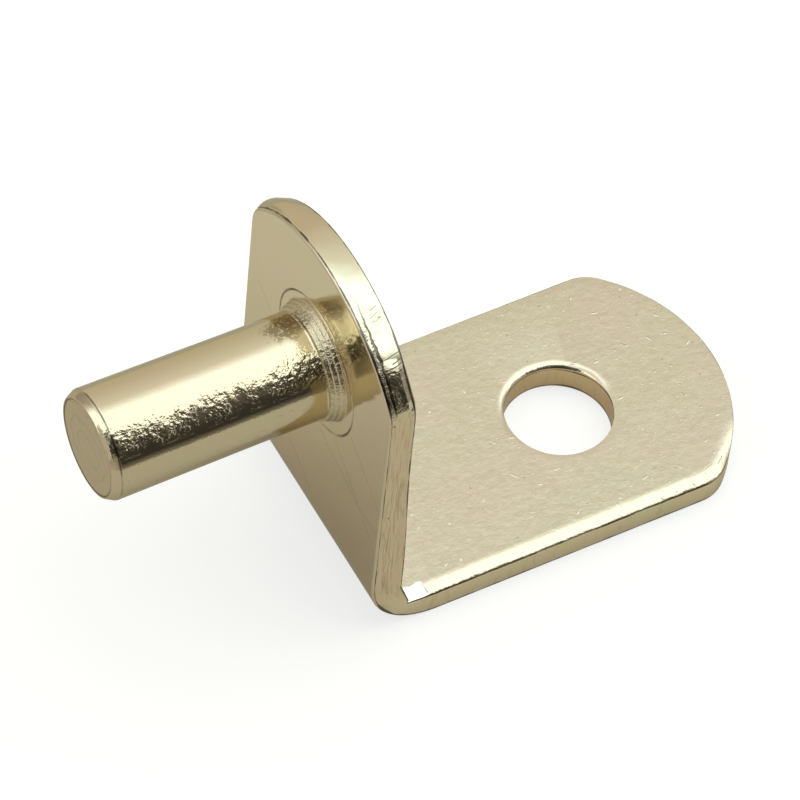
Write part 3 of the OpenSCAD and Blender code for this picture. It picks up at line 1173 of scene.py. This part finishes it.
# %% [markdown]
# ## The pin's finish
# The rod was tumbled before plating. It is polished, but the tumbling left small dents and craters
# along it, each with steep sides. A crater shows where the softbox's mirror image meets the dark side
# of the room: there it throws a spark into the dark band, or a dark fleck into the bright one.

# %% Group for the craters of the tumbling
craters, socket = new_group("tumbled_craters", "Height", "NodeSocketFloat", Place=ORIGIN, Cell=0.3,
                            Radius=0.1, Share=0.5)
cells, chance = cells_of(nudged(socket["Place"], 0.25, 2.0, 0.18), socket["Cell"], "3D")
distance = times(cells["Distance"], socket["Cell"])
size = times(socket["Radius"], remap(chance[0], 0, 1, 0.5, 1.3))
dent = remap(over(distance, size), 1.0, 0.35)
way = minus(times(calc("GREATER_THAN", chance[1], 0.5), 2.0), 1.0)
kept = calc("LESS_THAN", chance[2], socket["Share"])
end_group(times(dent, kept, way))

# %% [markdown]
# The tip's face keeps faint swirls of the cutter. Inside its rim and where the bevel meets the shank run
# two dark lines of painted shade. At the root, next to the collar, lies a painted dark reflection of the
# leg with a ragged border.

# %% Marks on the tip and the stain at the root
RIM_LINE_R = 2.215
BEVEL_LINE_X = -9.98
FINE_LINE = (0.05, 0.02)
SWIRLS = 9.0
ROOT_REFLECTION_AT = (-0.65, 0.55, 2.4)
ROOT_REFLECTION_WITHIN = (0.95, 0.6)


def tip_marks(mm, along, on_tip):
    """The swirls as a wave between -1 and 1, and the mask of the two lines of painted shade."""
    radius = length_of(stretch(mm, 0, 1, 1))
    wave = times(plus(radius, times(noise_of(mm, 1.4, 2.0), 1.5)), SWIRLS)
    # Painted shade: dark lines inside the rim and where the bevel meets the shank.
    rim_shade = times(remap(apart(radius, RIM_LINE_R), *FINE_LINE), on_tip)
    bevel_shade = remap(apart(along, BEVEL_LINE_X), *FINE_LINE)
    bevel_shade = times(bevel_shade, patches(mm, 0.8, 2.0, 0.4, 0.6, 0.2, 0.8))
    return times(calc("SINE", wave), on_tip), most(rim_shade, bevel_shade)


# Painted reflection: a dark patch with a ragged border on top of the shank beside the collar, where the pin
# mirrors the leg's face.
def painted_root_reflection(mm):
    from_reflection = stretch(relative(mm, ROOT_REFLECTION_AT), 0.75, 1.1, 1.0)
    ragged = times(minus(noise_of(mm, 0.5, 4.0, 0.65), 0.5), 1.3)
    reflection_patch = remap(plus(length_of(from_reflection), ragged), *ROOT_REFLECTION_WITHIN)
    return times(reflection_patch, minus(1.0, patches(mm, 0.14, 2.0, 0.56, 0.62)))

# %% [markdown]
# The dents lie along one strip of the shank, between two angles round the axis from straight up, and
# the collar's ridges are slightly beaten all round. Below the strip there are a few fine dashes.

# %% Tumbled finish of the pin
PIN_GRAZING = (0.80, 0.78, 0.70, 1)
ON_TIP = (-10.2, -10.33)
ON_COLLAR = (-0.12, 0.02)
STRUCK_STRIP = ((0.22, 0.52), (1.02, 0.84))
DASHED_FROM = (1.05, 1.2)


def tumbled_finish(mm):
    parts = xyz(mm)
    around = calc("ARCTAN2", times(parts[1], -1.0), parts[2])
    on_tip, on_collar = [remap(parts[0], *zone) for zone in (ON_TIP, ON_COLLAR)]
    off_tip = minus(1.0, on_tip)
    swirl, tip_shade_lines = tip_marks(mm, parts[0], on_tip)
    struck = times(between(around, *STRUCK_STRIP), off_tip, patches(mm, 1.1, 2.0, 0.36, 0.55, 0.3, 1.0))
    flecks = use_group(craters, Place=stretch(mm, -1, 1, 1), Cell=0.15, Radius=0.06, Share=0.5)
    skin = place("ShaderNodeCombineXYZ", {0: parts[0], 1: times(around, PIN_R)}).outputs[0]
    dashes = use_group(nicks, Place=skin, Cell=0.7, Length=0.22, Width=0.022, Turn=0.7, Share=0.4)
    dashes = times(dashes, off_tip, remap(around, *DASHED_FROM))

    fine = noise_of(mm, 0.10, 3.0, 0.6)
    normal = bumps((noise_of(mm, 1.3, 1.0), 0.010), (fine, 0.003),
                   (times(noise_of(mm, 0.22, 2.0), struck), 0.068),
                   (times(flecks, struck), 0.013), (swirl, 0.004), (times(fine, on_collar), 0.022),
                   (times(noise_of(mm, 0.18, 2.0, 0.6), on_collar), 0.035))
    color = clouded(mm, 2.6, 0.8, blend_colors(on_tip, PIN_PLATE, TIP_PLATE))
    drawn = most(times(dashes, 0.45), remap(swirl, 0.80, 0.98, 0.0, 0.18))
    # The patch at the root is painted reflection and the tip's lines painted shade; the dashes and swirls
    # are real marks.
    color = painted(color, (painted_root_reflection(mm), 0.75, STAIN_AND_SHADE), (drawn, 1.0, STAIN_AND_SHADE), (tip_shade_lines, 0.8, TARNISH_AND_SHADE))
    return color, wandering(mm, 0.6, 0.05, 0.08), normal


tumbled_pin = metal("tumbled_pin", tumbled_finish, PIN_GRAZING)

# %% [markdown]
# ## The two pieces
# A face of the bracket picks its finish by number, so the finishes stand in the order in which the
# faces were numbered: inner, outer, sheared, burred, bore. Both pieces ride on the one body, and each
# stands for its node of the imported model.

# %% Make the two pieces
bracket_finishes = [satin_plate, polished_plate, sheared_side, burred_rim, punched_bore]
finish_piece(sheet, "bracket_sheet", "root", "bracket", bracket_finishes)
finish_piece(turned, "staked_pin", "root", "pin", [tumbled_pin])

# %% [markdown]
# ## Floor
# The part stands on a plain pale floor. The camera sees its paper lifted towards white, and a mirror
# sees a share of that lift, so that bright metal keeps the shade that lies on the floor beside it. The
# paper's own colour is warmer and darker, which is what the underside of the part is lit by.

# %% Floor
FLOOR_RADIUS = 75.0
FLOOR_SIDES = 96
FLOOR_GAP = 0.01
FLOOR_PAPER = (0.40, 0.37, 0.29, 1)
FLOOR_GLOW = (0.94, 0.97, 1.0, 1)
FLOOR_LIFT = 0.73
MIRROR_SHARE = 0.29
floor_mesh = bmesh.new()
bmesh.ops.create_circle(floor_mesh, cap_ends=True, radius=FLOOR_RADIUS, segments=FLOOR_SIDES,
                        matrix=Matrix.Translation((0, 0, FLOOR_Z - FLOOR_GAP)))
floor = object_of(floor_mesh, "floor")


def seen_by(tree, mirror_share):
    """1 for a ray from the camera or through glass, and the given share for one from a mirror."""
    rays = place("ShaderNodeLightPath", tree=tree).outputs
    mirrored = times(rays["Is Glossy Ray"], mirror_share)
    seen = plus(rays["Is Camera Ray"], rays["Is Transmission Ray"])
    return calc("ADD", seen, mirrored, clamp=True)


paper = bpy.data.materials.new("floor_paper")
tree = empty_tree(paper)
inputs = {"Base Color": FLOOR_PAPER, "Roughness": 1.0, "Specular IOR Level": 0.0,
          "Emission Color": FLOOR_GLOW, "Emission Strength": times(seen_by(tree, MIRROR_SHARE), FLOOR_LIFT)}
shader = place("ShaderNodeBsdfPrincipled", inputs)
place("ShaderNodeOutputMaterial", {"Surface": shader.outputs[0]})
floor.data.materials.append(paper)
print("floor at Z", FLOOR_Z - FLOOR_GAP, "mm")

# %% [markdown]
# ## Studio
# A wide soft light hangs overhead and a little to the near side. Behind the part the wall is pale. The
# near side of the room is dark, and it draws the dark band that makes a bright rod look round. The
# world's sky holds all of this as one ramp, read by the direction's angle round the pin's axis, so it
# lights the part and is mirrored in it alike. Towards the pin's end the light slants to the far side,
# and a thin flag dims it there. The two ends of the room are an even grey, so that no view finds a
# black wall in the metal. The camera sees plain white in place of the room.

# %% Studio in the world
STUDIO_PEAK = 1.97
SIDE_SHARE = 0.30
SLANT = 25
FLAG_SHARE = 0.45
COOL = (0.91, 0.97, 1.03)
EVEN = (1.0, 0.98, 0.93)
WARM = (1.0, 0.94, 0.81)
# Degrees round the pin's axis from straight up towards the near side, share of the peak, and tint
STUDIO = [(-180, 0.32, WARM), (-100, 0.36, WARM), (-92, 0.36, WARM), (-72, 0.38, WARM), (-52, 0.42, EVEN),
          (-34, 0.49, EVEN), (-24, 0.70, COOL), (-14, 1.0, COOL), (34, 1.0, COOL), (38, 0.20, EVEN),
          (44, 0.09, EVEN), (60, 0.05, EVEN), (74, 0.028, EVEN), (90, 0.022, EVEN), (98, 0.10, WARM),
          (120, 0.26, WARM)]
# Where each starts and where it is full, by the X of the direction
SLANTED = (0.33, -0.33)
WALLS = ((-0.80, -0.68), (0.95, 0.80))
FLAG = ((0.05, -0.2), (-0.56, -0.46))
ENDS = ((0.46, 0.60), (-0.64, -0.74))
world = bpy.data.worlds.new("studio")
scene.world = world
tree = empty_tree(world)
parts = xyz(place("ShaderNodeTexCoord", tree=tree).outputs["Generated"])
slant = remap(parts[0], *SLANTED, 0.0, math.radians(SLANT))
turn = plus(calc("ARCTAN2", times(parts[1], -1.0), parts[2]), slant)
ramp = place("ShaderNodeValToRGB", {0: remap(turn, -math.pi, math.pi)})
stops = ramp.color_ramp.elements
while len(stops) < len(STUDIO):
    stops.new(1.0)
for stop, (angle, share, tint) in zip(stops, STUDIO):
    stop.position = (angle + 180) / 360
    stop.color = (share * tint[0], share * tint[1], share * tint[2], 1)
window, flag = [between(parts[0], *spans) for spans in (WALLS, FLAG)]
ends = plus(*[remap(parts[0], *end) for end in ENDS])
side = (SIDE_SHARE, SIDE_SHARE, SIDE_SHARE, 1)
sky = blend_colors(window, side, ramp.outputs[0])
sky = blend_colors(times(flag, FLAG_SHARE), sky, (0, 0, 0, 1))
sky = blend_colors(ends, sky, side, "LIGHTEN")
room = place("ShaderNodeBackground", {"Color": sky, "Strength": STUDIO_PEAK})
white = place("ShaderNodeBackground", {"Color": (1, 1, 1, 1), "Strength": 1.0}, tree)
mixed = place("ShaderNodeMixShader", {0: seen_by(tree, 0.0), 1: room.outputs[0], 2: white.outputs[0]})
place("ShaderNodeOutputWorld", {"Surface": mixed.outputs[0]})
print("studio ramp:", len(stops), "stops")

# %% [markdown]
# ## Camera
# The part is seen from the pin's side, from well above and from far away through a long lens, so its
# edges run almost parallel. The camera leans a little to one side.

# %% Place the camera
AZIMUTH = math.radians(-33.2072)
ELEVATION = math.radians(52.7591)
LEAN = math.radians(6.2909)
DISTANCE = 283.4945
LOOK_RIGHT = 3.7767
LOOK_UP = -1.3284
LENS = 296.0

back = Vector((math.sin(AZIMUTH) * math.cos(ELEVATION), -math.cos(AZIMUTH) * math.cos(ELEVATION),
               math.sin(ELEVATION)))
right = Vector((math.cos(AZIMUTH), math.sin(AZIMUTH), 0))
up = back.cross(right)
look_at = LOOK_RIGHT * right + LOOK_UP * up + Vector((FACE_X, 0, 0))
leaning_right = math.cos(LEAN) * right + math.sin(LEAN) * up
leaning_up = math.cos(LEAN) * up - math.sin(LEAN) * right
turn = Matrix((leaning_right, leaning_up, back)).transposed().to_4x4()
camera_data = bpy.data.cameras.new("camera")
camera_data.sensor_width = 36.0
camera_data.lens = LENS
camera_data.clip_start = 0.01
camera = bpy.data.objects.new("camera", camera_data)
camera.matrix_world = Matrix.Translation((look_at + DISTANCE * back) * MM) @ turn
scene.collection.objects.link(camera)
scene.camera = camera
print("camera at", [round(c, 1) for c in camera.matrix_world.translation / MM], "mm")
